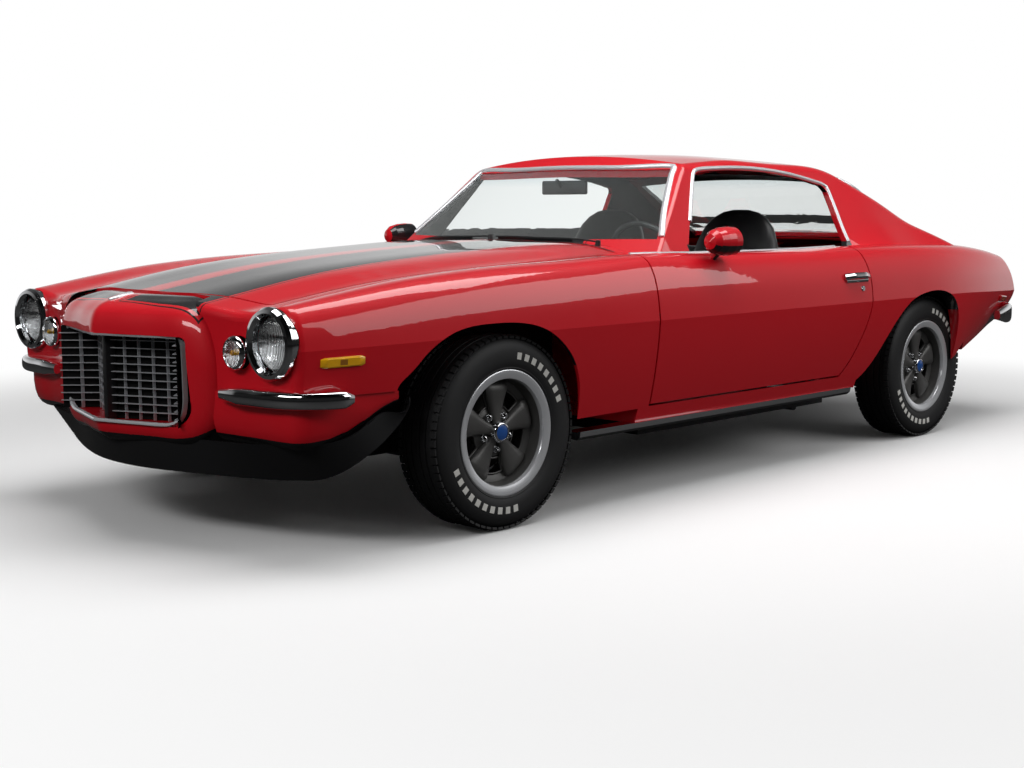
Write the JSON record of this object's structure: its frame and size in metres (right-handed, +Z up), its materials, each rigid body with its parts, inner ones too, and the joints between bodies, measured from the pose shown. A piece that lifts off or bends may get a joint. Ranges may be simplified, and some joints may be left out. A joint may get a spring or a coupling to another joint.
{
  "type": "two-door muscle car",
  "caption": "Two-door fastback muscle car with a hollow cabin, steered front wheels, opening doors, hood and boot lid.",
  "frame": {"origin": "on the ground, midway between the nose and the tail, on the centre plane", "axes": "+Z up, front of the car towards -Y, the car's left side towards +X"},
  "size_m": [1.934, 4.7593, 1.2839],
  "materials": {
    "paint": "gloss red enamel",
    "black_trim": "satin black moulding",
    "chrome": "bright plated",
    "glass": "clear, lightly tinted",
    "lamp_glass": "fluted clear glass",
    "amber_lens": "amber lens",
    "red_lens": "red lens",
    "vinyl": "black grained vinyl",
    "tyre": "black rubber",
    "wheel_grey": "satin charcoal",
    "chassis_black": "semi-gloss chassis black",
    "engine_iron": "painted iron",
    "bare_iron": "bare iron",
    "exhaust_steel": "dull steel"
  },
  "bodies": {
    "chassis": {"air_dam": "black_trim", "backlight": "glass", "body_shell": "paint", "bumper_rear": "chrome", "bumpers_front": "chrome", "console": "black_trim", "dashboard": "black_trim", "door_hinges": "chassis_black", "driveshaft": "bare_iron", "engine": "engine_iron", "exhaust": "exhaust_steel", "fender_left": "paint", "fender_right": "paint", "floor_pan": "chassis_black", "front_structure": "chassis_black", "front_suspension": "chassis_black", "front_valance": "paint", "fuel_tank": "chassis_black", "grille": "black_trim", "grille_surround": "paint", "header_panel": "paint", "headlamp_rings": "chrome", "headlamps": "lamp_glass", "hood_hinges": "chassis_black", "leaf_springs": "chassis_black", "parking_lamps": "lamp_glass", "radiator": "chassis_black", "rear_axle": "chassis_black", "rear_seat": "vinyl", "rocker_mouldings": "chrome", "seat_left": "vinyl", "seat_right": "vinyl", "side_markers_front": "amber_lens", "side_markers_rear": "red_lens", "spoiler_ends": "paint", "steering_column": "black_trim", "tail_lamps": "red_lens", "windshield": "glass"},
    "hood": {"hood": "paint"},
    "decklid": {"decklid": "paint", "spoiler_middle": "paint"},
    "door_left": {"door_left": "paint", "mirror_left": "paint", "door_handle_left": "chrome"},
    "door_right": {"door_right": "paint", "mirror_right": "paint", "door_handle_right": "chrome"},
    "steering_wheel": {"steering_wheel": "black_trim"},
    "knuckle_left": {"knuckle_left": "bare_iron"},
    "knuckle_right": {"knuckle_right": "bare_iron"},
    "wheel_front_left": {"rim_front_left": "wheel_grey", "tyre_front_left": "tyre"},
    "wheel_front_right": {"rim_front_right": "wheel_grey", "tyre_front_right": "tyre"},
    "wheel_rear_left": {"rim_rear_left": "wheel_grey", "tyre_rear_left": "tyre"},
    "wheel_rear_right": {"rim_rear_right": "wheel_grey", "tyre_rear_right": "tyre"}
  },
  "joints": [
    {"name": "hood_hinge", "type": "hinge", "parent": "chassis", "child": "hood", "pos_m": [0, -0.5225, 0.905], "axis": [-1, 0, 0], "range_deg": [0, 50]},
    {"name": "decklid_hinge", "type": "hinge", "parent": "chassis", "child": "decklid", "pos_m": [0, 1.6075, 0.912], "axis": [1, 0, 0], "range_deg": [0, 60]},
    {"name": "door_left_hinge", "type": "hinge", "parent": "chassis", "child": "door_left", "pos_m": [0.92, -0.6055, 0.6], "axis": [0, 0, -1], "range_deg": [0, 65]},
    {"name": "door_right_hinge", "type": "hinge", "parent": "chassis", "child": "door_right", "pos_m": [-0.92, -0.6055, 0.6], "axis": [0, 0, 1], "range_deg": [0, 65]},
    {"name": "steer_left", "type": "hinge", "parent": "chassis", "child": "knuckle_left", "pos_m": [0.6945, -1.3675, 0.325], "axis": [0, 0, 1], "range_deg": [-33, 33]},
    {"name": "steer_right", "type": "hinge", "parent": "chassis", "child": "knuckle_right", "pos_m": [-0.6945, -1.3675, 0.325], "axis": [0, 0, 1], "range_deg": [-33, 33]},
    {"name": "steering_wheel_turn", "type": "hinge", "parent": "chassis", "child": "steering_wheel", "pos_m": [0.37, -0.0375, 0.815], "axis": [0, 0.9272, 0.3746], "range_deg": [-462, 462]},
    {"name": "spin_front_left", "type": "hinge", "parent": "knuckle_left", "child": "wheel_front_left", "pos_m": [0.7785, -1.3675, 0.325], "axis": [1, 0, 0], "continuous": true},
    {"name": "spin_front_right", "type": "hinge", "parent": "knuckle_right", "child": "wheel_front_right", "pos_m": [-0.7785, -1.3675, 0.325], "axis": [1, 0, 0], "continuous": true},
    {"name": "spin_rear_left", "type": "hinge", "parent": "chassis", "child": "wheel_rear_left", "pos_m": [0.762, 1.3755, 0.325], "axis": [1, 0, 0], "continuous": true},
    {"name": "spin_rear_right", "type": "hinge", "parent": "chassis", "child": "wheel_rear_right", "pos_m": [-0.762, 1.3755, 0.325], "axis": [1, 0, 0], "continuous": true}
  ],
  "couplings": [
    {"joint": "steer_right", "follows": "steer_left", "ratio": 1},
    {"joint": "steering_wheel_turn", "follows": "steer_left", "ratio": 14}
  ]
}
